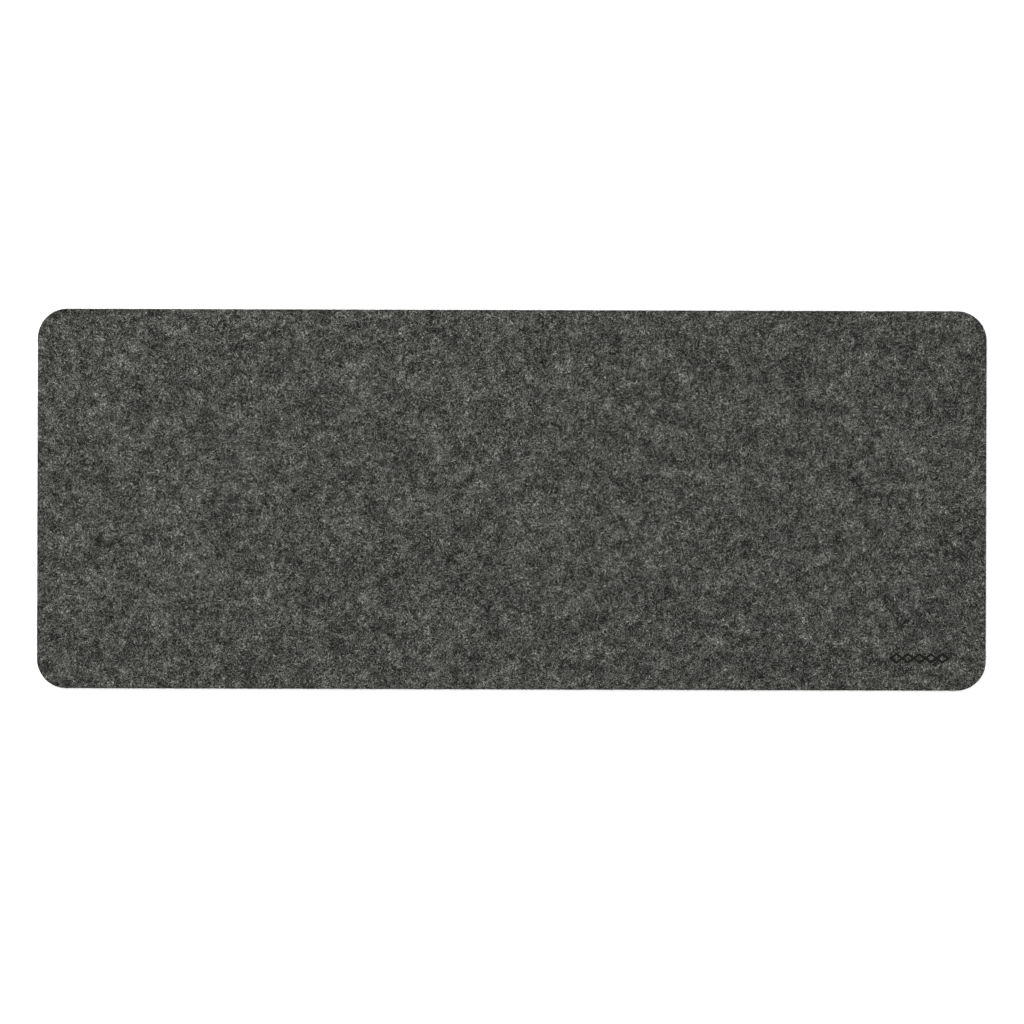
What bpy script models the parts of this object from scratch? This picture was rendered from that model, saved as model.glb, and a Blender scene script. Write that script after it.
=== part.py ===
"""Desk mat: a felt sheet laminated to a thin non-slip rubber base, with a small mark.

The mat lies flat with its underside on z = 0 and its centre over the origin. X runs
along its length, Y runs away from the person at the desk, and Z is up. Lengths are
in metres.
"""

import math

import bmesh
import bpy

# Outline of the mat, seen from above.
MAT_LENGTH = 0.800
MAT_DEPTH = 0.320
CORNER_RADIUS = 0.025
CORNER_SEGMENTS = 14

# Layers, from the desk upwards. The gap keeps neighbouring solids apart.
LAYER_GAP = 0.0003
RUBBER_THICKNESS = 0.0012
FILM_THICKNESS = 0.0002
FELT_THICKNESS = 0.0030

# How far each hidden layer stops short of the felt's cut edge.
RUBBER_INSET = 0.0005
FILM_INSET = 0.0012

# Rounding of the felt's upper cut edge, and of the rubber's lower one.
FELT_EDGE_ROUND = 0.0006
FELT_EDGE_SEGMENTS = 3
RUBBER_EDGE_CHAMFER = 0.0003

# Mark near the front right corner: a chain of outlined lozenges.
MARK_LINKS = 5
MARK_PITCH = 0.0097
MARK_HALF_HEIGHT = 0.0035
MARK_STROKE = 0.0018
MARK_THICKNESS = 0.00015
MARK_CENTRE_FROM_RIGHT = 0.0560
MARK_CENTRE_FROM_FRONT = 0.0273

# Pressed seat in the felt that the mark lies in.
SEAT_DEPTH = 0.0006
SEAT_CLEARANCE = 0.0003
SEAT_CUTTER_HEIGHT = 0.002

# Heights that follow from the layers.
RUBBER_TOP = RUBBER_THICKNESS
FILM_BOTTOM = RUBBER_TOP + LAYER_GAP
FILM_TOP = FILM_BOTTOM + FILM_THICKNESS
FELT_BOTTOM = FILM_TOP + LAYER_GAP
FELT_TOP = FELT_BOTTOM + FELT_THICKNESS
SEAT_FLOOR = FELT_TOP - SEAT_DEPTH
MARK_BOTTOM = SEAT_FLOOR + LAYER_GAP

MARK_X = MAT_LENGTH / 2 - MARK_CENTRE_FROM_RIGHT
MARK_Y = MARK_CENTRE_FROM_FRONT - MAT_DEPTH / 2

# Colours, linear RGB.
FELT_GREY = (0.074, 0.075, 0.069)
RUBBER_BLACK = (0.016, 0.016, 0.017)
FILM_GREY = (0.30, 0.29, 0.27)
MARK_BLACK = (0.012, 0.012, 0.011)


def clear_scene():
    """Remove whatever the start-up file holds."""
    for thing in list(bpy.data.objects):
        bpy.data.objects.remove(thing, do_unlink=True)


def make_material(name, colour, roughness, metallic=0.0):
    """Return a plain Principled material."""
    material = bpy.data.materials.new(name)
    material.use_nodes = True
    shader = material.node_tree.nodes["Principled BSDF"]
    shader.inputs["Base Color"].default_value = (*colour, 1.0)
    shader.inputs["Roughness"].default_value = roughness
    shader.inputs["Metallic"].default_value = metallic
    return material


def rounded_rectangle(inset):
    """Return the mat's outline, moved in by inset, anticlockwise from the right."""
    radius = CORNER_RADIUS - inset
    centre_x = MAT_LENGTH / 2 - CORNER_RADIUS
    centre_y = MAT_DEPTH / 2 - CORNER_RADIUS
    points = []
    for quarter, (side_x, side_y) in enumerate(((1, 1), (-1, 1), (-1, -1), (1, -1))):
        for step in range(CORNER_SEGMENTS + 1):
            angle = math.radians(90) * (quarter + step / CORNER_SEGMENTS)
            x = side_x * centre_x + radius * math.cos(angle)
            y = side_y * centre_y + radius * math.sin(angle)
            points.append((x, y))
    return points


def extrude_up(mesh, faces, height):
    """Give flat faces that look up a thickness, as one closed solid below their top."""
    bmesh.ops.reverse_faces(mesh, faces=faces)
    grown = bmesh.ops.extrude_face_region(mesh, geom=faces, use_keep_orig=True)
    lifted = [item for item in grown["geom"] if isinstance(item, bmesh.types.BMVert)]
    bmesh.ops.translate(mesh, verts=lifted, vec=(0, 0, height))
    bmesh.ops.recalc_face_normals(mesh, faces=mesh.faces)


def add_object(name, mesh, location, material):
    """Put a finished bmesh in the scene as a named object."""
    data = bpy.data.meshes.new(name)
    mesh.to_mesh(data)
    mesh.free()
    body = bpy.data.objects.new(name, data)
    body.location = location
    body.data.materials.append(material)
    bpy.context.collection.objects.link(body)
    return body


def rim_edges(mesh, z):
    """Return the outline edges that lie at height z."""
    tolerance = 1e-6
    return [
        edge
        for edge in mesh.edges
        if all(abs(vert.co.z - z) < tolerance for vert in edge.verts)
    ]


def make_layer(name, inset, bottom, thickness, material):
    """Return a sheet with the mat's outline, still as a bmesh, with its name and place."""
    mesh = bmesh.new()
    corners = [mesh.verts.new((x, y, 0)) for x, y in rounded_rectangle(inset)]
    sheet = mesh.faces.new(corners)
    extrude_up(mesh, [sheet], thickness)
    return mesh, (name, (0, 0, bottom), material)


def lozenge_chain(grow, height):
    """Return a chain of outlined lozenges as a solid, its strokes widened by grow."""
    half_stroke = MARK_STROKE / 2 + grow
    half_pitch = MARK_PITCH / 2
    side = math.hypot(half_pitch, MARK_HALF_HEIGHT)
    over_x = half_stroke * side / MARK_HALF_HEIGHT
    over_y = half_stroke * side / half_pitch

    mesh = bmesh.new()
    left = [mesh.verts.new((-MARK_LINKS * half_pitch - over_x, 0, 0))]
    for link in range(MARK_LINKS):
        x = (link - (MARK_LINKS - 1) / 2) * MARK_PITCH
        top = mesh.verts.new((x, MARK_HALF_HEIGHT + over_y, 0))
        bottom = mesh.verts.new((x, -MARK_HALF_HEIGHT - over_y, 0))
        inner_top = mesh.verts.new((x, MARK_HALF_HEIGHT - over_y, 0))
        inner_bottom = mesh.verts.new((x, over_y - MARK_HALF_HEIGHT, 0))
        inner_left = mesh.verts.new((x - half_pitch + over_x, 0, 0))
        inner_right = mesh.verts.new((x + half_pitch - over_x, 0, 0))
        if link == MARK_LINKS - 1:
            right = [mesh.verts.new((x + half_pitch + over_x, 0, 0))]
        else:
            # Neighbours meet in a waist as high as their strokes' crossing.
            right = [
                mesh.verts.new((x + half_pitch, over_y, 0)),
                mesh.verts.new((x + half_pitch, -over_y, 0)),
            ]
        mesh.faces.new((left[0], inner_left, inner_top, top))
        mesh.faces.new((top, inner_top, inner_right, right[0]))
        mesh.faces.new((bottom, inner_bottom, inner_left, left[-1]))
        mesh.faces.new((right[-1], inner_right, inner_bottom, bottom))
        if len(left) == 2:
            mesh.faces.new((left[0], left[1], inner_left))
        if len(right) == 2:
            mesh.faces.new((right[1], right[0], inner_right))
        left = right
    extrude_up(mesh, list(mesh.faces), height)
    return mesh


def make_rubber_base():
    """Non-slip rubber sheet that lies on the desk."""
    rubber = make_material("rubber_base", RUBBER_BLACK, 0.75)
    mesh, place = make_layer("rubber_base", RUBBER_INSET, 0.0, RUBBER_THICKNESS, rubber)
    bmesh.ops.bevel(
        mesh,
        geom=rim_edges(mesh, 0.0),
        offset=RUBBER_EDGE_CHAMFER,
        segments=1,
        affect="EDGES",
    )
    name, location, material = place
    return add_object(name, mesh, location, material)


def make_bond_film():
    """Hot-melt film that bonds the felt to the rubber."""
    film = make_material("bond_film", FILM_GREY, 0.45)
    mesh, place = make_layer("bond_film", FILM_INSET, FILM_BOTTOM, FILM_THICKNESS, film)
    name, location, material = place
    return add_object(name, mesh, location, material)


def make_felt_sheet():
    """Felt work surface, rounded along its upper edge, with a pressed seat for the mark."""
    felt = make_material("felt_sheet", FELT_GREY, 0.95)
    mesh, place = make_layer("felt_sheet", 0.0, FELT_BOTTOM, FELT_THICKNESS, felt)
    bmesh.ops.bevel(
        mesh,
        geom=rim_edges(mesh, FELT_THICKNESS),
        offset=FELT_EDGE_ROUND,
        segments=FELT_EDGE_SEGMENTS,
        profile=0.5,
        affect="EDGES",
    )
    name, location, material = place
    sheet = add_object(name, mesh, location, material)

    seat_mesh = lozenge_chain(SEAT_CLEARANCE, SEAT_CUTTER_HEIGHT)
    cutter = add_object("mark_seat_cutter", seat_mesh, (MARK_X, MARK_Y, SEAT_FLOOR), felt)
    cutter.hide_render = True
    cutter.display_type = "WIRE"
    cut = sheet.modifiers.new("mark_seat", "BOOLEAN")
    cut.operation = "DIFFERENCE"
    cut.solver = "EXACT"
    cut.object = cutter
    return sheet


def make_mark():
    """Thin transfer film in the shape of the mark."""
    ink = make_material("mark_film", MARK_BLACK, 0.55)
    mesh = lozenge_chain(0.0, MARK_THICKNESS)
    return add_object("mark_film", mesh, (MARK_X, MARK_Y, MARK_BOTTOM), ink)


def main():
    """Build the mat from the desk upwards."""
    clear_scene()
    make_rubber_base()
    make_bond_film()
    make_felt_sheet()
    make_mark()


main()
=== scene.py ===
"""Looks of the felt desk mat: matted felt, stray fibres, studded rubber, printed mark, studio."""
import math

import bmesh
import bpy
import numpy as np
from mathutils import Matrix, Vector
from mathutils.bvhtree import BVHTree
from mathutils.geometry import delaunay_2d_cdt


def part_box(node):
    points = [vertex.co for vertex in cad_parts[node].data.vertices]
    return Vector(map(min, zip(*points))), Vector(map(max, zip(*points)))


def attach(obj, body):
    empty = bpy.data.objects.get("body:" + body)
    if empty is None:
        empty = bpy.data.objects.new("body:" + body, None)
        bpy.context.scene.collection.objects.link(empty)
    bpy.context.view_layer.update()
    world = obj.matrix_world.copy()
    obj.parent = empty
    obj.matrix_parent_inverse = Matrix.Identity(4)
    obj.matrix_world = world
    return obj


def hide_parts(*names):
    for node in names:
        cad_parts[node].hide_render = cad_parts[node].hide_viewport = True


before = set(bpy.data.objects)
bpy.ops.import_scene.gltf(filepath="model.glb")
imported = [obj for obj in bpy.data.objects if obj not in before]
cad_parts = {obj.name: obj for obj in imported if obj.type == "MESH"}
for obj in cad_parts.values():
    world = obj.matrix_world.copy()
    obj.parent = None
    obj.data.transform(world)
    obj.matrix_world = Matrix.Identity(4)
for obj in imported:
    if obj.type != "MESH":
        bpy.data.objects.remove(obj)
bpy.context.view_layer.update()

MM = 0.001
BODY = "root"

# Gap left between layers that touch, and how close together two points count as one.
TOUCH_GAP = 0.02 * MM
SAME_PLACE = 1e-6

# Seeds of the random draws.
COARSE_GRID_SEED = 11
SEAT_GRID_SEED = 12
PALE_SEED = 21
DARK_SEED = 22
FUZZ_SEED = 23
WALL_SEED = 40
SLOW_WALL_SEED = 60
FILM_SEED = 80
PRINT_SEED = 90

# Where the CAD layers lie, in metres.
FELT_LOW, FELT_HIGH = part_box("felt_sheet")
FILM_LOW, FILM_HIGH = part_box("bond_film")
RUBBER_LOW, RUBBER_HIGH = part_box("rubber_base")
MARK_LOW, MARK_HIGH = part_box("mark_film")
HALF_X = FELT_HIGH.x
HALF_Y = FELT_HIGH.y

# Lattice noise: values along each side of its table, and the range that its grid is turned in.
LATTICE_SIZE = 512
LATTICE_TURN = (0.3, 1.2)

# Felt: mesh spacing, how far points stray as a share of it, how far they keep from the rim, and
# relief as (cell size, height).
FELT_STEP = 1.86 * MM
GRID_JITTER = 0.28
GRID_MARGIN = 0.6 * FELT_STEP
FELT_RELIEF = ((15 * MM, 0.07 * MM), (7 * MM, 0.08 * MM), (4 * MM, 0.06 * MM))
RELIEF_DEPTH = sum(height for _, height in FELT_RELIEF)

# Felt's cut edge: its rounded rim, its wall as (share of its height, inset), and the wall's ins
# and outs as (cell size, height).
RIM_ROUND = 0.55 * MM
RIM_STEPS = 4
WALL_LEAN = ((0.55, 0.02 * MM), (0.15, 0.05 * MM), (0.0, 0.20 * MM))
WALL_QUICK = (2.4 * MM, 0.06 * MM)
WALL_SLOW = (11 * MM, 0.08 * MM)
WALL_DRAWN_IN = 0.02 * MM

# Pressed seat of the mark.
SEAT_STEP = 0.45 * MM
SEAT_MARGIN = 2.5 * MM
SEAT_SHOULDER = 0.9 * MM
SEAT_DROP = FELT_HIGH.z - MARK_LOW.z + TOUCH_GAP

# Fibres: points along each, sides of the tube, and how much thinner their ends are.
FIBRE_POINTS = 4
TUBE_SIDES = 3
FIBRE_THINNING = 0.6

# Fibres lying on the felt: how many of each tone, spares drawn for those that fall outside,
# ranges of length and radius, spread of curvature (per metre) and of waviness, how far they lie
# out of the felt in radii, how far their ends dip into it, and how far they keep from the mark.
LYING_FIBRES = 9800
FIBRE_SPARES = 1.15
FIBRE_LENGTH = (3.0 * MM, 9.0 * MM)
FIBRE_RADIUS = (0.10 * MM, 0.24 * MM)
FIBRE_CURVATURE = 65.0
FIBRE_WAVE = 0.22
WAVE_ANGLE = 9
FIBRE_LIFT = 0.55
FIBRE_DIP = 1.6
MARK_CLEARANCE = 0.9 * MM
MARK_REACH = 1.0 * MM

# Fibre ends standing out of the cut edge: how far their roots lie inside, the spread of their
# lean along the edge, their rise, and the band of the edge that they keep to.
FUZZ_FIBRES = 5200
FUZZ_LENGTH = (0.5 * MM, 1.5 * MM)
FUZZ_RADIUS = (0.035 * MM, 0.07 * MM)
FUZZ_SPACING = 0.2 * MM
FUZZ_ROOT = 0.4 * MM
FUZZ_OUTWARD = 0.75
FUZZ_LEAN = 0.75
FUZZ_LEAN_AT_ROOT = 0.4
FUZZ_RISE = (-0.5, 0.3)
FUZZ_LOW = FILM_HIGH.z + 0.3 * MM
FUZZ_HIGH = FELT_HIGH.z - 0.4 * MM

# Adhesive film: its edge as (inset, share of the film's thickness), and its unevenness.
FILM_STEP = 3 * MM
FILM_EDGE = (
    (0.75 * MM, 1.0),
    (0.45 * MM, 0.8),
    (0.35 * MM, 0.5),
    (0.50 * MM, 0.1),
    (0.80 * MM, 0.0),
)
FILM_UNEVEN = 0.12 * MM
FILM_UNEVEN_CELL = 6 * MM

# Rubber base: its bevelled upper edge and rounded lower edge, and the studs on its underside,
# whose mesh rings lie a slack outside the foot and inside the top.
RUBBER_STEP = 4 * MM
RUBBER_BEVEL = 0.15 * MM
RUBBER_ROUND = 0.3 * MM
RUBBER_ROUND_MIDDLE = 0.08 * MM
STUD_PITCH = 8.0 * MM
STUD_SIDES = 10
STUD_CREASE = math.radians(26)
STUD_FOOT = 2.1 * MM
STUD_TOP = 1.6 * MM
STUD_HEIGHT = 0.35 * MM
STUD_MARGIN = 3.2 * MM
STUD_SLACK = 0.005

# Printed mark: cuts along each edge, and how far its points stray, with the size of the blots
# that they stray in.
PRINT_CUTS = 5
PRINT_BEND = 0.04 * MM
PRINT_BEND_CELL = 1.5 * MM
PRINT_STRAY = 0.07 * MM
PRINT_STRAY_CELL = 0.9 * MM

# Framing: the mat's share of the picture's width, how far its centre lies above and left of the
# picture's middle as shares of that width, the picture's slight roll, and the lens.
MAT_SHARE = 0.9269
CENTRE_RAISE = 0.0120
CENTRE_LEFT = 0.0002
ROLL_DEGREES = 0.17
LENS = 100.0
SENSOR = 36.0

# Felt colour: tint added to red, green and blue, mean tone, mottling as (blot size, strength),
# fine streaks, long streaks and sparse bundles. Each set of streaks has a turn of its own. Tones
# and tints are as displayed, from 0 to 1.
FELT_TINT = (0.0, 0.0026, -0.0104)
DISPLAY_GAMMA = 2.2
DARKEST_TONE = 0.02
FELT_TONE = 0.250
# Painted shade along the felt's rounded rim, fading inwards, together with the cut edge's own
# slightly darker felt.
RIM_PAINTED_SHADE = 0.05
RIM_SHADE_FADE = 0.9 * MM
FELT_MOTTLE = (
    (1.8 * MM, 0.12),
    (3.6 * MM, 0.13),
    (7.2 * MM, 0.21),
    (15 * MM, 0.11),
    (32 * MM, 0.05),
)
BEND_SIZE = 10 * MM
BEND_REACH = 4 * MM
STREAK_DIRECTIONS = 5
STREAK_SHIFT = (0.31, 0.17, 0.05)
FINE_LENGTH = 3.0 * MM
FINE_WIDTH = 0.38 * MM
FINE_THRESHOLD = 0.5
FINE_MEAN = 0.19
FINE_STRENGTH = 1.85
FINE_TURN = 0.7
FINE_RELIEF = 1.2 * MM
STREAK_LENGTH = 7.0 * MM
STREAK_WIDTH = 0.88 * MM
STREAK_THRESHOLD = 0.58
PALE_STREAK = 0.30
DARK_STREAK = 0.32
PALE_TURN = 0.2
DARK_TURN = 0.5
BUNDLE_LENGTH = 17.0 * MM
BUNDLE_WIDTH = 1.3 * MM
BUNDLE_THRESHOLD = 0.25
BUNDLE_STRENGTH = 0.9
BUNDLE_TURN = 0.35

# Tones of the fibres as (middle, spread), and of the other layers, with their tint and mottling.
PALE_TONE = (0.365, 0.14)
DARK_TONE = (0.175, 0.09)
FUZZ_TONE = (0.26, 0.10)
RUBBER_TONE = 0.14
RUBBER_TINT = (0.0, 0.0, 0.002)
RUBBER_MOTTLE = ((30 * MM, 0.05), (3 * MM, 0.03))
RUBBER_ROUGHNESS = 0.75
RUBBER_WEAR = 0.3
RUBBER_WEAR_SIZE = 12 * MM
FILM_TONE = 0.30
FILM_TINT = (0.004, 0.0, -0.010)
FILM_MOTTLE = ((4 * MM, 0.10), (1 * MM, 0.06))
PRINT_TONE = 0.085
PRINT_MOTTLE = ((0.8 * MM, 0.08), (2.5 * MM, 0.04))

# Studio: a faintly lit white floor, white surroundings and one soft light.
FLOOR_REACH = 6.0
FLOOR_WHITE = (0.95, 0.95, 0.95, 1.0)
FLOOR_GLOW = 0.14
WHITE = (1.0, 1.0, 1.0, 1.0)
WORLD_STRENGTH = 1.25
KEY_PLACE = (-0.6, 0.7, 1.0)
KEY_SIZE = 1.2
KEY_POWER = 10.0


# ---------------------------------------------------------------- outlines and noise


def corner_radius(node, high):
    """Radius of a sheet's corners, read from where its long straight edge ends."""
    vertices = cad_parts[node].data.vertices
    on_edge = [v.co.x for v in vertices if v.co.y > high.y - SAME_PLACE]
    return high.x - max(on_edge)


RADIUS = corner_radius("felt_sheet", FELT_HIGH)


def outline(step):
    """Points round the mat about a step apart, and their outward normals."""
    corners = ((1, 1), (-1, 1), (-1, -1), (1, -1))
    centres = [np.array((a * (HALF_X - RADIUS), b * (HALF_Y - RADIUS))) for a, b in corners]
    points, normals = [], []
    for quarter, centre in enumerate(centres):
        count = round(RADIUS * math.pi / 2 / step)
        angles = (quarter + np.arange(count) / count) * math.pi / 2
        around = np.stack((np.cos(angles), np.sin(angles)), axis=1)
        points.append(centre + RADIUS * around)
        normals.append(around)
        along = centres[(quarter + 1) % 4] - centre
        count = round(float(np.hypot(*along)) / step)
        share = (np.arange(count) / count)[:, None]
        end = (quarter + 1) * math.pi / 2
        facing = np.array((math.cos(end), math.sin(end)))
        points.append(centre + RADIUS * facing + along * share)
        normals.append(np.tile(facing, (count, 1)))
    return np.concatenate(points), np.concatenate(normals)


def depth_inside(x, y):
    """How far points lie inside the mat's outline; negative outside it."""
    past_x = np.abs(x) - (HALF_X - RADIUS)
    past_y = np.abs(y) - (HALF_Y - RADIUS)
    beyond = np.hypot(np.maximum(past_x, 0), np.maximum(past_y, 0))
    return RADIUS - beyond - np.minimum(np.maximum(past_x, past_y), 0)


def smooth(t):
    """Smooth step from 0 to 1 for t from 0 to 1."""
    t = np.clip(t, 0, 1)
    return t * t * (3 - 2 * t)


def lattice_noise(x, y, cell, seed):
    """Smooth random values from -1 to 1, in blots about a cell wide."""
    rng = np.random.default_rng(seed)
    table = rng.uniform(-1, 1, (LATTICE_SIZE, LATTICE_SIZE))
    turn = rng.uniform(*LATTICE_TURN)
    u = (x * math.cos(turn) - y * math.sin(turn)) / cell
    v = (x * math.sin(turn) + y * math.cos(turn)) / cell
    i, j = np.floor(u).astype(int), np.floor(v).astype(int)
    a, b = smooth(u - i), smooth(v - j)
    near, far = i % LATTICE_SIZE, (i + 1) % LATTICE_SIZE
    low, high = j % LATTICE_SIZE, (j + 1) % LATTICE_SIZE
    bottom = table[near, low] * (1 - a) + table[far, low] * a
    top = table[near, high] * (1 - a) + table[far, high] * a
    return bottom * (1 - b) + top * b


def mark_tree():
    """Search tree of the mark seen from above."""
    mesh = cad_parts["mark_film"].data
    flat = [Vector((v.co.x, v.co.y, 0)) for v in mesh.vertices]
    faces = [tuple(p.vertices) for p in mesh.polygons if p.normal.z > 0.5]
    return BVHTree.FromPolygons(flat, faces)


MARK_TREE = mark_tree()


def distance_to_mark(x, y, reach):
    """Distance to the mark's strokes, or reach where that is less."""
    found = np.full(x.shape, reach)
    near = (x > MARK_LOW.x - reach) & (x < MARK_HIGH.x + reach)
    near &= (y > MARK_LOW.y - reach) & (y < MARK_HIGH.y + reach)
    for k in np.flatnonzero(near):
        hit = MARK_TREE.find_nearest(Vector((x[k], y[k], 0)), reach)
        if hit[3] is not None:
            found[k] = hit[3]
    return found


def felt_top(x, y):
    """Height of the felt's surface: matted relief, pressed down under the mark."""
    z = np.full(x.shape, FELT_HIGH.z - RELIEF_DEPTH)
    for seed, (cell, height) in enumerate(FELT_RELIEF):
        z += height * lattice_noise(x, y, cell, seed)
    away = distance_to_mark(x, y, SEAT_SHOULDER) / SEAT_SHOULDER
    pressed = 1 - smooth(away)
    return z * (1 - pressed) + (FELT_HIGH.z - SEAT_DROP) * pressed


# ---------------------------------------------------------------- meshes


def add_piece(name, coords, faces, crease=math.pi):
    """Make an object from arrays, smooth up to the crease angle, riding on the mat."""
    mesh = bpy.data.meshes.new(name)
    mesh.from_pydata(coords.tolist(), [], faces)
    mesh.validate()
    mesh.shade_smooth()
    mesh.set_sharp_from_angle(angle=crease)
    piece = bpy.data.objects.new(name, mesh)
    bpy.context.collection.objects.link(piece)
    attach(piece, BODY)
    return piece


def fill(rim, inner):
    """Triangulate a closed rim with extra points inside it; returns points and triangles."""
    points = [Vector(p) for p in rim] + [Vector(p) for p in inner]
    edges = [(k, (k + 1) % len(rim)) for k in range(len(rim))]
    inside_only = 1
    merge_distance = 1e-9
    made = delaunay_2d_cdt(points, edges, [], inside_only, merge_distance)
    return np.array(made[0]), made[2]


def sheet_mesh(name, profile, step, top=None, bottom=None, wall=None, crease=math.pi):
    """Closed sheet with the mat's outline.

    profile lists (inset, z) from the top face's rim down to the bottom face's rim. top and
    bottom are (points, height function) for the inside of those faces, and wall roughens
    the rings between them. Edges bent by more than crease stay sharp.
    """
    base, normals = outline(step)
    around = len(base)
    rings = []
    for level, (inset, z) in enumerate(profile):
        ring = base - normals * inset
        if wall is not None and 0 < level < len(profile) - 1:
            ring = ring + normals * wall(base, level)[:, None]
        rings.append(np.column_stack((ring, np.full(around, z))))
    faces = []
    for level in range(len(rings) - 1):
        upper, lower = level * around, (level + 1) * around
        for k in range(around):
            n = (k + 1) % around
            faces.append((upper + k, lower + k, lower + n, upper + n))
    coords = [*rings]
    used = around * len(rings)
    for rim, cap, is_top in ((rings[0], top, True), (rings[-1], bottom, False)):
        inner, height = cap if cap is not None else ((), None)
        points, triangles = fill(rim[:, :2], inner)
        start = 0 if is_top else around * (len(rings) - 1)
        fresh = points[around:]
        level = rim[0, 2] if height is None else height(fresh[:, 0], fresh[:, 1])
        coords.append(np.column_stack((fresh, np.broadcast_to(level, len(fresh)))))
        for tri in triangles:
            ids = [start + k if k < around else used + k - around for k in tri]
            faces.append(tuple(ids if is_top else ids[::-1]))
        used += len(fresh)
    coords = np.concatenate(coords)
    if top is not None:
        coords[:around, 2] = top[1](coords[:around, 0], coords[:around, 1])
    return add_piece(name, coords, faces, crease)


def grid(step, inset, seed):
    """Points on a jittered grid that lie at least inset inside the outline."""
    rng = np.random.default_rng(seed)
    x, y = np.meshgrid(np.arange(-HALF_X, HALF_X, step), np.arange(-HALF_Y, HALF_Y, step))
    x = x.ravel() + rng.uniform(-GRID_JITTER, GRID_JITTER, x.size) * step
    y = y.ravel() + rng.uniform(-GRID_JITTER, GRID_JITTER, y.size) * step
    keep = depth_inside(x, y) > inset
    return np.column_stack((x, y))[keep]


def near_seat(points):
    """Which points lie in the box round the mark."""
    low = np.array(MARK_LOW.xy) - SEAT_MARGIN
    high = np.array(MARK_HIGH.xy) + SEAT_MARGIN
    return np.all((points > low) & (points < high), axis=1)


def rim_profile(top_z, bottom_z):
    """Felt edge from its rounded upper rim down the cut wall."""
    profile = []
    for step in range(RIM_STEPS + 1):
        angle = math.pi / 2 * step / RIM_STEPS
        inset = RIM_ROUND * (1 - math.sin(angle))
        profile.append((inset, top_z - RIM_ROUND * (1 - math.cos(angle))))
    wall = top_z - RIM_ROUND - bottom_z
    for share, inset in WALL_LEAN:
        profile.append((inset, bottom_z + wall * share))
    return profile


def cut_wall(base, level):
    """Small ins and outs of the die-cut edge."""
    quick_cell, quick_height = WALL_QUICK
    slow_cell, slow_height = WALL_SLOW
    quick = quick_height * lattice_noise(base[:, 0], base[:, 1], quick_cell, WALL_SEED + level)
    slow = slow_height * lattice_noise(base[:, 0], base[:, 1], slow_cell, SLOW_WALL_SEED)
    return quick + slow - WALL_DRAWN_IN


def make_felt():
    """The felt sheet with its relief and pressed seat."""
    coarse = grid(FELT_STEP, RIM_ROUND + GRID_MARGIN, COARSE_GRID_SEED)
    coarse = coarse[~near_seat(coarse)]
    fine = grid(SEAT_STEP, RIM_ROUND, SEAT_GRID_SEED)
    fine = fine[near_seat(fine)]
    inner = np.concatenate((coarse, fine))
    profile = rim_profile(FELT_HIGH.z - RELIEF_DEPTH, FILM_HIGH.z + TOUCH_GAP)
    felt = sheet_mesh(
        "felt_matted", profile, FELT_STEP, top=(inner, felt_top), wall=cut_wall
    )
    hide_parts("felt_sheet")
    mark_rim_shade(felt)
    return felt


def mark_rim_shade(piece):
    """Attribute that is 1 at the cut edge and fades inwards: the mask of the shade painted along the
    rim.
    """
    vertices = piece.data.vertices
    co = np.empty(len(vertices) * 3, np.float32)
    vertices.foreach_get("co", co)
    co = co.reshape(-1, 3)
    rim = np.exp(-np.maximum(depth_inside(co[:, 0], co[:, 1]), 0) / RIM_SHADE_FADE)
    attribute = piece.data.attributes.new("rim", "FLOAT", "POINT")
    attribute.data.foreach_set("value", rim.astype(np.float32))


def make_film():
    """Adhesive film, squeezed out a little between felt and rubber."""
    thickness = FILM_HIGH.z - FILM_LOW.z
    profile = [(inset, FILM_LOW.z + share * thickness) for inset, share in FILM_EDGE]
    film = sheet_mesh("bond_film_squeezed", profile, FILM_STEP, wall=film_wall)
    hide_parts("bond_film")
    return film


def film_wall(base, level):
    """Uneven squeeze-out along the film's edge."""
    uneven = lattice_noise(base[:, 0], base[:, 1], FILM_UNEVEN_CELL, FILM_SEED + level)
    return FILM_UNEVEN * uneven


def stud_centres():
    """Centres of the studs, in rows that keep clear of the edge."""
    columns = int(HALF_X / STUD_PITCH)
    rows = int(HALF_Y / STUD_PITCH)
    x, y = np.meshgrid(np.arange(-columns, columns + 1), np.arange(-rows, rows + 1))
    x, y = x.ravel() * STUD_PITCH, y.ravel() * STUD_PITCH
    keep = depth_inside(x, y) > STUD_MARGIN + STUD_FOOT
    return np.column_stack((x, y))[keep]


def stud_height(x, y):
    """Underside of the rubber: flat web, with a stud at each pitch that reaches the desk."""
    off_x = x - np.round(x / STUD_PITCH) * STUD_PITCH
    off_y = y - np.round(y / STUD_PITCH) * STUD_PITCH
    rise = (STUD_FOOT - np.hypot(off_x, off_y)) / (STUD_FOOT - STUD_TOP)
    return RUBBER_LOW.z + STUD_HEIGHT * (1 - np.clip(rise, 0, 1))


def make_rubber():
    """Rubber base with moulded studs."""
    centres = stud_centres()
    points = [centres]
    for ring in (STUD_FOOT * (1 + STUD_SLACK), STUD_TOP * (1 - STUD_SLACK)):
        for side in range(STUD_SIDES):
            angle = 2 * math.pi * (side + 0.5) / STUD_SIDES
            points.append(centres + ring * np.array((math.cos(angle), math.sin(angle))))
    web = RUBBER_LOW.z + STUD_HEIGHT
    edge = HALF_X - RUBBER_HIGH.x
    top_z = FILM_LOW.z - TOUCH_GAP
    profile = (
        (edge + RUBBER_BEVEL, top_z),
        (edge, top_z - RUBBER_BEVEL),
        (edge, (top_z + web) / 2),
        (edge, web + RUBBER_ROUND),
        (edge + RUBBER_ROUND_MIDDLE, web + RUBBER_ROUND_MIDDLE),
        (edge + RUBBER_ROUND, web),
    )
    studs = (np.concatenate(points), stud_height)
    rubber = sheet_mesh(
        "rubber_studded", profile, RUBBER_STEP, bottom=studs, crease=STUD_CREASE
    )
    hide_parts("rubber_base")
    return rubber


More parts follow.
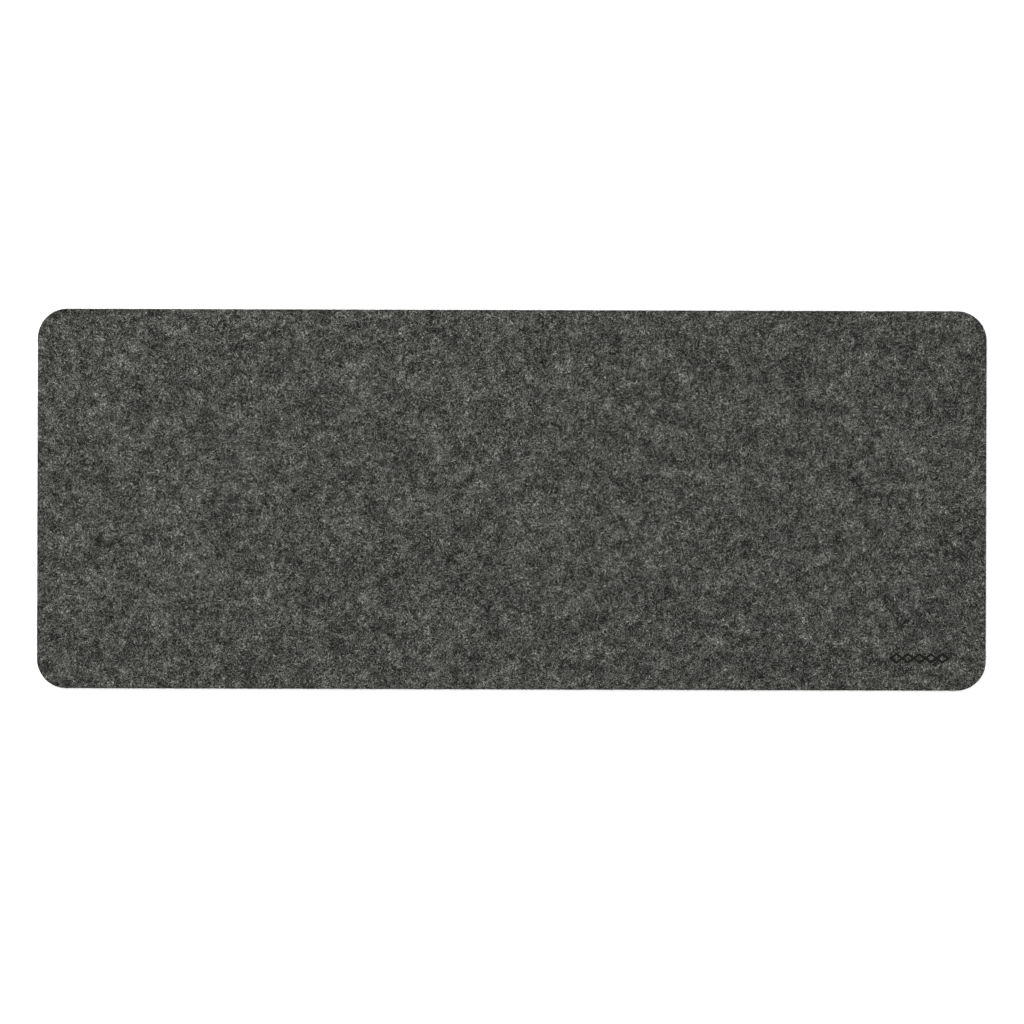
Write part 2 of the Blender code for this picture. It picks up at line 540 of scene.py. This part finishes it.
def make_print():
    """The mark's film, whose points stray a little as if it followed the fibres under it."""
    mesh = bmesh.new()
    mesh.from_mesh(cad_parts["mark_film"].data)
    bmesh.ops.remove_doubles(mesh, verts=mesh.verts, dist=SAME_PLACE)
    bmesh.ops.subdivide_edges(mesh, edges=mesh.edges, cuts=PRINT_CUTS, use_grid_fill=True)
    bmesh.ops.triangulate(mesh, faces=mesh.faces)
    x = np.array([v.co.x for v in mesh.verts])
    y = np.array([v.co.y for v in mesh.verts])
    bend = PRINT_BEND * lattice_noise(x, y, PRINT_BEND_CELL, PRINT_SEED)
    side_x = PRINT_STRAY * lattice_noise(x, y, PRINT_STRAY_CELL, PRINT_SEED + 1)
    side_y = PRINT_STRAY * lattice_noise(x, y, PRINT_STRAY_CELL, PRINT_SEED + 2)
    for k, vert in enumerate(mesh.verts):
        vert.co += Vector((side_x[k], side_y[k], bend[k]))
    data = bpy.data.meshes.new("mark_print")
    mesh.to_mesh(data)
    mesh.free()
    data.materials.clear()
    data.shade_smooth()
    printed = bpy.data.objects.new("mark_print", data)
    bpy.context.collection.objects.link(printed)
    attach(printed, BODY)
    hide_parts("mark_film")
    return printed


# ---------------------------------------------------------------- fibres


def tubes(name, paths, radii):
    """Closed tubes of few sides along paths, an array of (fibre, point, xyz)."""
    count, points = paths.shape[:2]
    ahead = np.gradient(paths, axis=1)
    ahead /= np.linalg.norm(ahead, axis=2, keepdims=True)
    side = np.cross(ahead, (0.0, 0.0, 1.0))
    side /= np.linalg.norm(side, axis=2, keepdims=True)
    up = np.cross(side, ahead)
    taper = 1 - FIBRE_THINNING * np.abs(np.linspace(-1, 1, points)) ** 3
    reach = radii[:, None, None] * taper[None, :, None]
    rings = []
    for corner in range(TUBE_SIDES):
        angle = math.radians(90 + 360 / TUBE_SIDES * corner)
        rings.append(paths + (math.cos(angle) * side + math.sin(angle) * up) * reach)
    coords = np.stack(rings, axis=2).reshape(-1, 3)
    index = np.arange(count * points * TUBE_SIDES).reshape(count, points, TUBE_SIDES)
    here, there = index[:, :-1], index[:, 1:]
    turned_here, turned_there = np.roll(here, -1, axis=2), np.roll(there, -1, axis=2)
    walls = np.stack((here, there, turned_there, turned_here), axis=-1).reshape(-1, 4)
    starts, ends = index[:, 0], index[:, -1, ::-1]
    faces = walls.tolist() + starts.tolist() + ends.tolist()
    return add_piece(name, coords, faces)


def lying_fibres(name, seed):
    """Curved fibres matted into the felt's surface, their ends tucked in."""
    rng = np.random.default_rng(seed)
    spare = round(LYING_FIBRES * FIBRE_SPARES)
    x = rng.uniform(-HALF_X, HALF_X, spare)
    y = rng.uniform(-HALF_Y, HALF_Y, spare)
    heading = rng.uniform(0, 2 * math.pi, spare)
    length = rng.uniform(*FIBRE_LENGTH, spare)
    curl = rng.normal(0, FIBRE_CURVATURE, spare)
    wave = rng.normal(0, FIBRE_WAVE, spare)
    radius = rng.uniform(*FIBRE_RADIUS, spare)
    share = np.linspace(-0.5, 0.5, FIBRE_POINTS)
    run = share[None, :] * length[:, None]
    swing = np.sin(share * WAVE_ANGLE)
    angle = heading[:, None] + curl[:, None] * run + wave[:, None] * swing[None]
    step = (length / (FIBRE_POINTS - 1))[:, None]
    path_x = x[:, None] + np.cumsum(np.cos(angle), axis=1) * step
    path_y = y[:, None] + np.cumsum(np.sin(angle), axis=1) * step
    inside = depth_inside(path_x, path_y).min(axis=1) > RIM_ROUND
    clear = distance_to_mark(path_x.ravel(), path_y.ravel(), MARK_REACH)
    inside &= clear.reshape(path_x.shape).min(axis=1) > MARK_CLEARANCE
    chosen = np.flatnonzero(inside)[:LYING_FIBRES]
    path_x, path_y, radius = path_x[chosen], path_y[chosen], radius[chosen]
    z = felt_top(path_x.ravel(), path_y.ravel()).reshape(path_x.shape)
    lift = FIBRE_LIFT - FIBRE_DIP * np.abs(np.linspace(-1, 1, FIBRE_POINTS)) ** 4
    z += radius[:, None] * lift[None, :]
    return tubes(name, np.stack((path_x, path_y, z), axis=2), radius)


def edge_fuzz(name, seed):
    """Short fibre ends standing out of the cut edge."""
    rng = np.random.default_rng(seed)
    base, normals = outline(FUZZ_SPACING)
    chosen = rng.integers(0, len(base), FUZZ_FIBRES)
    length = rng.uniform(*FUZZ_LENGTH, FUZZ_FIBRES)
    radius = rng.uniform(*FUZZ_RADIUS, FUZZ_FIBRES)
    lean = rng.normal(0, FUZZ_LEAN, FUZZ_FIBRES)
    rise = rng.uniform(*FUZZ_RISE, FUZZ_FIBRES)
    height = rng.uniform(FUZZ_LOW, FUZZ_HIGH, FUZZ_FIBRES)
    out = normals[chosen]
    along = np.column_stack((-out[:, 1], out[:, 0]))
    points = []
    for share in np.linspace(0, 1, FIBRE_POINTS):
        reach = (length * share)[:, None]
        bend = (lean * (FUZZ_LEAN_AT_ROOT + share))[:, None]
        outward = out * (reach * FUZZ_OUTWARD - FUZZ_ROOT)
        flat = base[chosen] + outward + along * reach * bend
        z = height + rise * length * share**2
        points.append(np.column_stack((flat, z)))
    return tubes(name, np.stack(points, axis=1), radius)


# ---------------------------------------------------------------- materials


def add_node(tree, kind, inputs=None, **settings):
    """Add a node, set its options, and give each named input a value or a link."""
    made = tree.nodes.new(kind)
    for key, value in settings.items():
        setattr(made, key, value)
    for key, value in (inputs or {}).items():
        if isinstance(value, bpy.types.NodeSocket):
            tree.links.new(value, made.inputs[key])
        else:
            made.inputs[key].default_value = value
    return made


def maths(tree, operation, *values):
    """Output of a Math node."""
    inputs = dict(enumerate(values))
    return add_node(tree, "ShaderNodeMath", inputs, operation=operation).outputs[0]


def new_material(name, roughness):
    """Material with nodes; returns it, its tree and its Principled shader."""
    material = bpy.data.materials.new(name)
    material.use_nodes = True
    shader = material.node_tree.nodes["Principled BSDF"]
    shader.inputs["Roughness"].default_value = roughness
    return material, material.node_tree, shader


def object_point(tree):
    """Position on the mat, in metres."""
    return add_node(tree, "ShaderNodeTexCoord").outputs["Object"]


def noise(tree, point, size, detail=0.0):
    """Noise from 0 to 1 whose blots are about size across."""
    inputs = {"Vector": point, "Scale": 1 / size, "Detail": detail, "Roughness": 0.5}
    return add_node(tree, "ShaderNodeTexNoise", inputs).outputs["Fac"]


def mottle(tree, point, layers):
    """Sum of centred noises, given as (size, strength)."""
    total = 0.0
    for size, strength in layers:
        centred = maths(tree, "SUBTRACT", noise(tree, point, size), 0.5)
        total = maths(tree, "MULTIPLY_ADD", centred, strength, total)
    return total


def tinted(tree, tone, tint):
    """Linear colour from a displayed tone and what each channel adds to it."""
    channels = {}
    for channel, extra in zip(("Red", "Green", "Blue"), tint):
        shown = maths(tree, "MAXIMUM", maths(tree, "ADD", tone, extra), DARKEST_TONE)
        channels[channel] = maths(tree, "POWER", shown, DISPLAY_GAMMA)
    return add_node(tree, "ShaderNodeCombineColor", channels).outputs[0]


def bump(tree, shader, height, distance, strength):
    """Give a shader a bump from a height."""
    inputs = {"Height": height, "Distance": distance, "Strength": strength}
    made = add_node(tree, "ShaderNodeBump", inputs)
    tree.links.new(made.outputs[0], shader.inputs["Normal"])


def stretched_noises(tree, point, turn, length, width):
    """Noises drawn out to length by width, each in its own direction across the mat."""
    shift_x, shift_y, shift_z = STREAK_SHIFT
    made = []
    for k in range(STREAK_DIRECTIONS):
        angle = turn + math.pi * k / STREAK_DIRECTIONS
        inputs = {
            "Vector": point,
            "Location": (shift_x * k + turn, shift_y * k, shift_z * k),
            "Rotation": (0, 0, angle),
            "Scale": (length, width, width),
        }
        along = add_node(tree, "ShaderNodeMapping", inputs, vector_type="TEXTURE").outputs[0]
        made.append(noise(tree, along, 1.0))
    return made


def streaks(tree, point, turn, length, width, threshold):
    """Strongest of several directions of thin streaks, 0 where there is none."""
    strongest = 0.0
    for drawn in stretched_noises(tree, point, turn, length, width):
        over = maths(tree, "SUBTRACT", drawn, threshold)
        strongest = maths(tree, "MAXIMUM", over, strongest)
    return strongest


def bundles(tree, point):
    """Sparse long bundles of fibres: above 0 where pale, below 0 where dark."""
    total = 0.0
    for drawn in stretched_noises(tree, point, BUNDLE_TURN, BUNDLE_LENGTH, BUNDLE_WIDTH):
        centred = maths(tree, "SUBTRACT", drawn, 0.5)
        low = maths(tree, "MAXIMUM", centred, -BUNDLE_THRESHOLD)
        plain = maths(tree, "MINIMUM", low, BUNDLE_THRESHOLD)
        total = maths(tree, "ADD", total, maths(tree, "SUBTRACT", centred, plain))
    return total


def bent(tree, point):
    """Point pushed about, so that what is drawn there runs in gentle curves."""
    inputs = {"Vector": point, "Scale": 1 / BEND_SIZE, "Detail": 0.0}
    push = add_node(tree, "ShaderNodeTexNoise", inputs).outputs["Color"]
    centred = add_node(
        tree, "ShaderNodeVectorMath", {0: push, 1: (0.5, 0.5, 0.5)}, operation="SUBTRACT"
    )
    scaled = add_node(
        tree, "ShaderNodeVectorMath", {0: centred.outputs[0], "Scale": BEND_REACH}, operation="SCALE"
    )
    moved = add_node(tree, "ShaderNodeVectorMath", {0: point, 1: scaled.outputs[0]})
    return moved.outputs[0]


def felt_material():
    """Matted felt: mottling, fine and long streaks that cross, sparse bundles of fibres, and painted
    shade along the rim.
    """
    material, tree, shader = new_material("felt_matted", roughness=0.95)
    shader.inputs["Sheen Weight"].default_value = 0.10
    shader.inputs["Sheen Roughness"].default_value = 0.6
    shader.inputs["Specular IOR Level"].default_value = 0.05
    point = object_point(tree)
    base = FELT_TONE - FINE_STRENGTH * FINE_MEAN
    tone = maths(tree, "ADD", mottle(tree, point, FELT_MOTTLE), base)
    curved = bent(tree, point)
    fine = streaks(tree, curved, FINE_TURN, FINE_LENGTH, FINE_WIDTH, FINE_THRESHOLD)
    tone = maths(tree, "MULTIPLY_ADD", fine, FINE_STRENGTH, tone)
    pale = streaks(tree, curved, PALE_TURN, STREAK_LENGTH, STREAK_WIDTH, STREAK_THRESHOLD)
    tone = maths(tree, "MULTIPLY_ADD", pale, PALE_STREAK, tone)
    dark = streaks(tree, curved, DARK_TURN, STREAK_LENGTH, STREAK_WIDTH, STREAK_THRESHOLD)
    tone = maths(tree, "MULTIPLY_ADD", dark, -DARK_STREAK, tone)
    sparse = bundles(tree, curved)
    tone = maths(tree, "MULTIPLY_ADD", sparse, BUNDLE_STRENGTH, tone)
    # Painted shade: the felt is darkened along its rounded rim, where the edge turns from the light;
    # the cut felt is a little darker there too.
    rim = add_node(tree, "ShaderNodeAttribute", attribute_name="rim").outputs["Fac"]
    tone = maths(tree, "MULTIPLY_ADD", rim, -RIM_PAINTED_SHADE, tone)
    tree.links.new(tinted(tree, tone, FELT_TINT), shader.inputs["Base Color"])
    bump(tree, shader, fine, distance=FINE_RELIEF, strength=0.6)
    return material


def fibre_material(name, tones):
    """Fibres of one dye lot, each of its own tone."""
    middle, spread = tones
    material, tree, shader = new_material(name, roughness=0.85)
    shader.inputs["Sheen Weight"].default_value = 0.10
    shader.inputs["Sheen Roughness"].default_value = 0.5
    shader.inputs["Specular IOR Level"].default_value = 0.1
    island = add_node(tree, "ShaderNodeNewGeometry").outputs["Random Per Island"]
    own = maths(tree, "MULTIPLY_ADD", island, spread, middle - spread / 2)
    tree.links.new(tinted(tree, own, FELT_TINT), shader.inputs["Base Color"])
    return material


def rubber_material():
    """Black rubber, faintly mottled, with a fine grain and patches that are more worn."""
    material, tree, shader = new_material("rubber_black", roughness=RUBBER_ROUGHNESS)
    shader.inputs["Specular IOR Level"].default_value = 0.35
    point = object_point(tree)
    tone = maths(tree, "ADD", mottle(tree, point, RUBBER_MOTTLE), RUBBER_TONE)
    tree.links.new(tinted(tree, tone, RUBBER_TINT), shader.inputs["Base Color"])
    patches = noise(tree, point, RUBBER_WEAR_SIZE, detail=2.0)
    least = RUBBER_ROUGHNESS - RUBBER_WEAR / 2
    worn = maths(tree, "MULTIPLY_ADD", patches, RUBBER_WEAR, least)
    tree.links.new(worn, shader.inputs["Roughness"])
    grain = noise(tree, point, size=0.5 * MM, detail=2.0)
    bump(tree, shader, grain, distance=0.1 * MM, strength=0.5)
    return material


def film_material():
    """Grey hot-melt film with a slight yellow cast."""
    material, tree, shader = new_material("film_milky", roughness=0.4)
    point = object_point(tree)
    tone = maths(tree, "ADD", mottle(tree, point, FILM_MOTTLE), FILM_TONE)
    tree.links.new(tinted(tree, tone, FILM_TINT), shader.inputs["Base Color"])
    grain = noise(tree, point, size=1.2 * MM, detail=2.0)
    bump(tree, shader, grain, distance=0.08 * MM, strength=0.4)
    return material


def print_material():
    """Near-black transfer print with a faint grain."""
    material, tree, shader = new_material("print_black", roughness=0.8)
    shader.inputs["Specular IOR Level"].default_value = 0.12
    point = object_point(tree)
    tone = maths(tree, "ADD", mottle(tree, point, PRINT_MOTTLE), PRINT_TONE)
    tree.links.new(tinted(tree, tone, FELT_TINT), shader.inputs["Base Color"])
    grain = noise(tree, point, size=0.6 * MM, detail=2.0)
    bump(tree, shader, grain, distance=0.12 * MM, strength=0.5)
    return material


# ---------------------------------------------------------------- studio


def make_floor():
    """White floor under the mat that gives off a little light, which thins the shadow."""
    mesh = bpy.data.meshes.new("floor")
    signs = ((-1, -1), (1, -1), (1, 1), (-1, 1))
    mesh.from_pydata([(a * FLOOR_REACH, b * FLOOR_REACH, 0) for a, b in signs], [], [range(4)])
    floor = bpy.data.objects.new("floor", mesh)
    bpy.context.collection.objects.link(floor)
    material, _, shader = new_material("floor_white", roughness=1.0)
    shader.inputs["Base Color"].default_value = FLOOR_WHITE
    shader.inputs["Specular IOR Level"].default_value = 0.0
    shader.inputs["Emission Color"].default_value = WHITE
    shader.inputs["Emission Strength"].default_value = FLOOR_GLOW
    mesh.materials.append(material)


def add_area_light(name, place, size, power):
    """Square soft light aimed at the mat's centre."""
    light = bpy.data.lights.new(name, "AREA")
    light.size = size
    light.energy = power
    lamp = bpy.data.objects.new(name, light)
    lamp.location = place
    lamp.rotation_mode = "QUATERNION"
    lamp.rotation_quaternion = (-Vector(place)).to_track_quat("-Z", "Y")
    bpy.context.collection.objects.link(lamp)


def make_light():
    """Even white surroundings and one large soft light from the back left."""
    world = bpy.data.worlds.new("studio")
    world.use_nodes = True
    background = world.node_tree.nodes["Background"]
    background.inputs["Color"].default_value = WHITE
    background.inputs["Strength"].default_value = WORLD_STRENGTH
    bpy.context.scene.world = world
    add_area_light("key", KEY_PLACE, KEY_SIZE, KEY_POWER)
    bpy.context.scene.view_settings.view_transform = "Standard"


def make_camera():
    """Long lens straight above the mat, framed as a catalogue shot."""
    width = (HALF_X * 2) / MAT_SHARE
    data = bpy.data.cameras.new("overhead")
    data.lens = LENS
    data.sensor_width = SENSOR
    camera = bpy.data.objects.new("overhead", data)
    roll = math.radians(ROLL_DEGREES)
    across, down = CENTRE_LEFT * width, CENTRE_RAISE * width
    x = across * math.cos(roll) + down * math.sin(roll)
    y = across * math.sin(roll) - down * math.cos(roll)
    camera.location = (x, y, FELT_HIGH.z + width * LENS / SENSOR)
    camera.rotation_euler = (0, 0, roll)
    bpy.context.collection.objects.link(camera)
    bpy.context.scene.camera = camera


# ---------------------------------------------------------------- the mat


def main():
    """Dress the frame, light it and frame it."""
    make_camera()
    felt = make_felt()
    felt.data.materials.append(felt_material())
    film = make_film()
    film.data.materials.append(film_material())
    rubber = make_rubber()
    rubber.data.materials.append(rubber_material())
    printed = make_print()
    printed.data.materials.append(print_material())
    pale = lying_fibres("fibres_pale", PALE_SEED)
    pale.data.materials.append(fibre_material("fibre_pale", PALE_TONE))
    dark = lying_fibres("fibres_dark", DARK_SEED)
    dark.data.materials.append(fibre_material("fibre_dark", DARK_TONE))
    fuzz = edge_fuzz("fibres_edge", FUZZ_SEED)
    fuzz.data.materials.append(fibre_material("fibre_edge", FUZZ_TONE))

    make_floor()
    make_light()


main()
